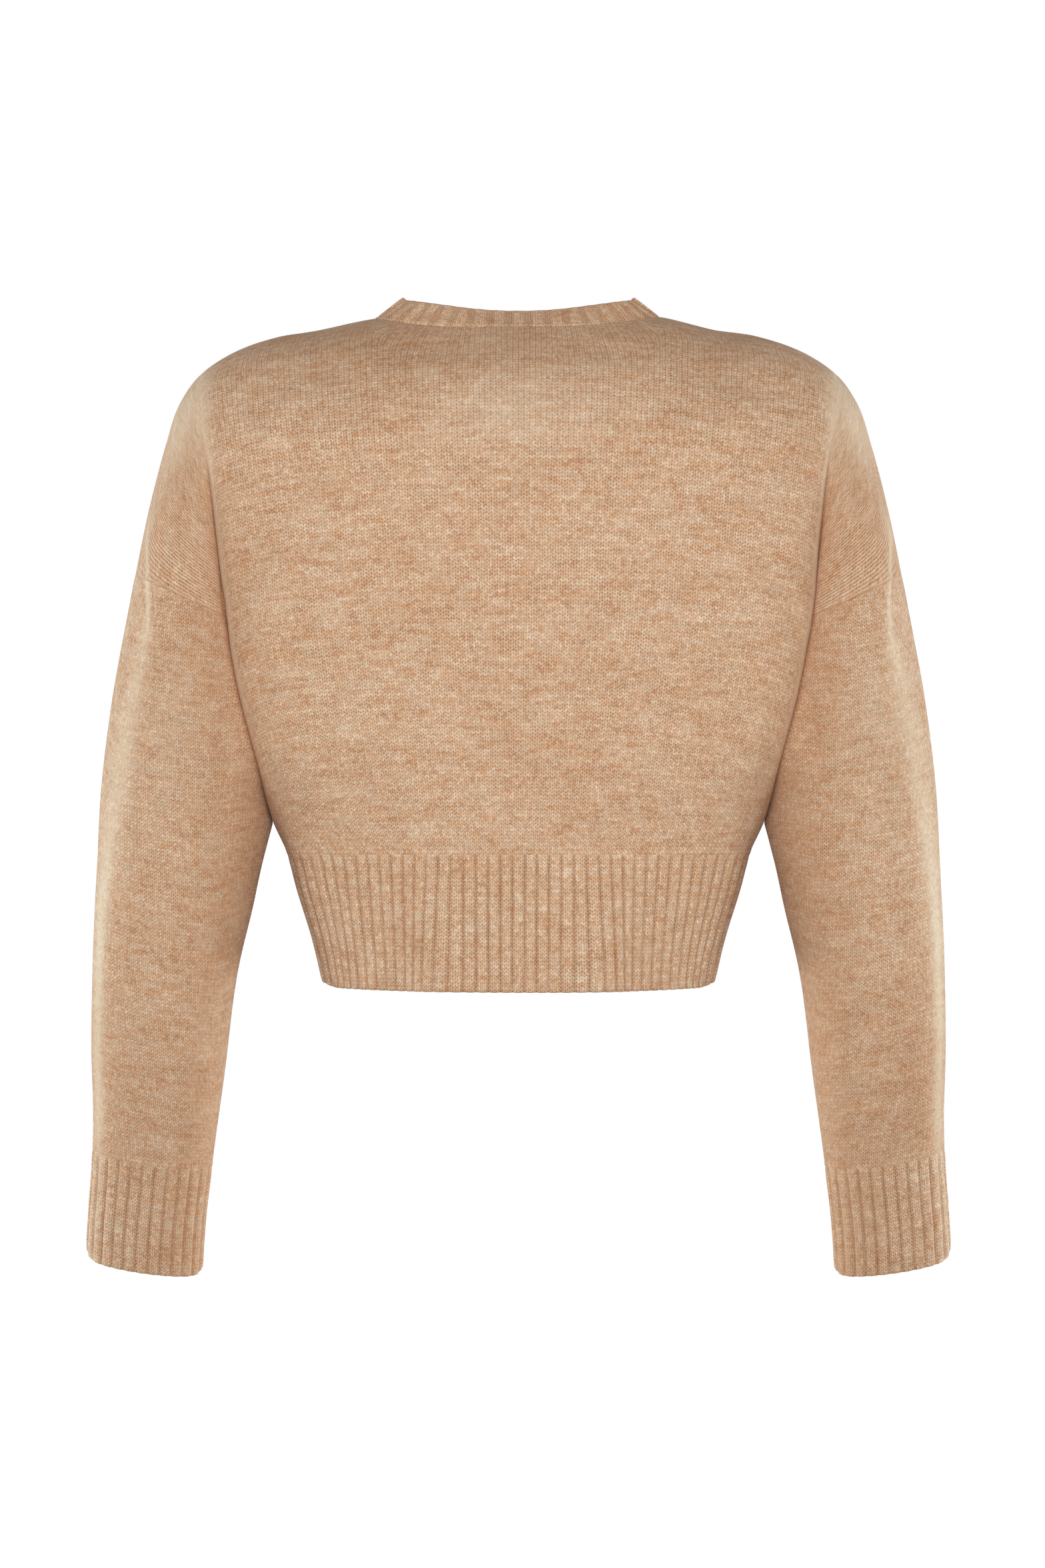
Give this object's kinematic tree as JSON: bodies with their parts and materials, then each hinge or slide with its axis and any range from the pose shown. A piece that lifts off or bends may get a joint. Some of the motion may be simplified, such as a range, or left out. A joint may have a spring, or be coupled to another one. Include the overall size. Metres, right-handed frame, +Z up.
{
  "type": "knitted cardigan",
  "caption": "Cropped V-neck knitted cardigan, buttoned, with dropped shoulders, long sleeves and ribbed hem, cuffs and band, filled out as when worn.",
  "frame": {"origin": "the middle of the neck, level with the high points of the shoulders: where the garment hangs from its wearer", "axes": "+Z up, -Y the buttoned front, +Y the back, +X the wearer's left"},
  "size_m": [0.6108, 0.2445, 0.6921],
  "materials": {
    "knit": "soft brushed stockinette in camel melange yarn",
    "rib": "ribbed knit in the same camel melange yarn",
    "button": "polished brown resin"
  },
  "bodies": {
    "root": {"back": "knit", "front_left": "knit", "front_right": "knit", "sleeve_left": "knit", "sleeve_right": "knit", "cuff_left": "rib", "cuff_right": "rib", "hem_rib_back": "rib", "hem_rib_front_left": "rib", "hem_rib_front_right": "rib", "neck_and_front_band": "rib", "button_1": "button", "button_2": "button", "button_3": "button", "button_4": "button", "button_5": "button"}
  },
  "joints": []
}
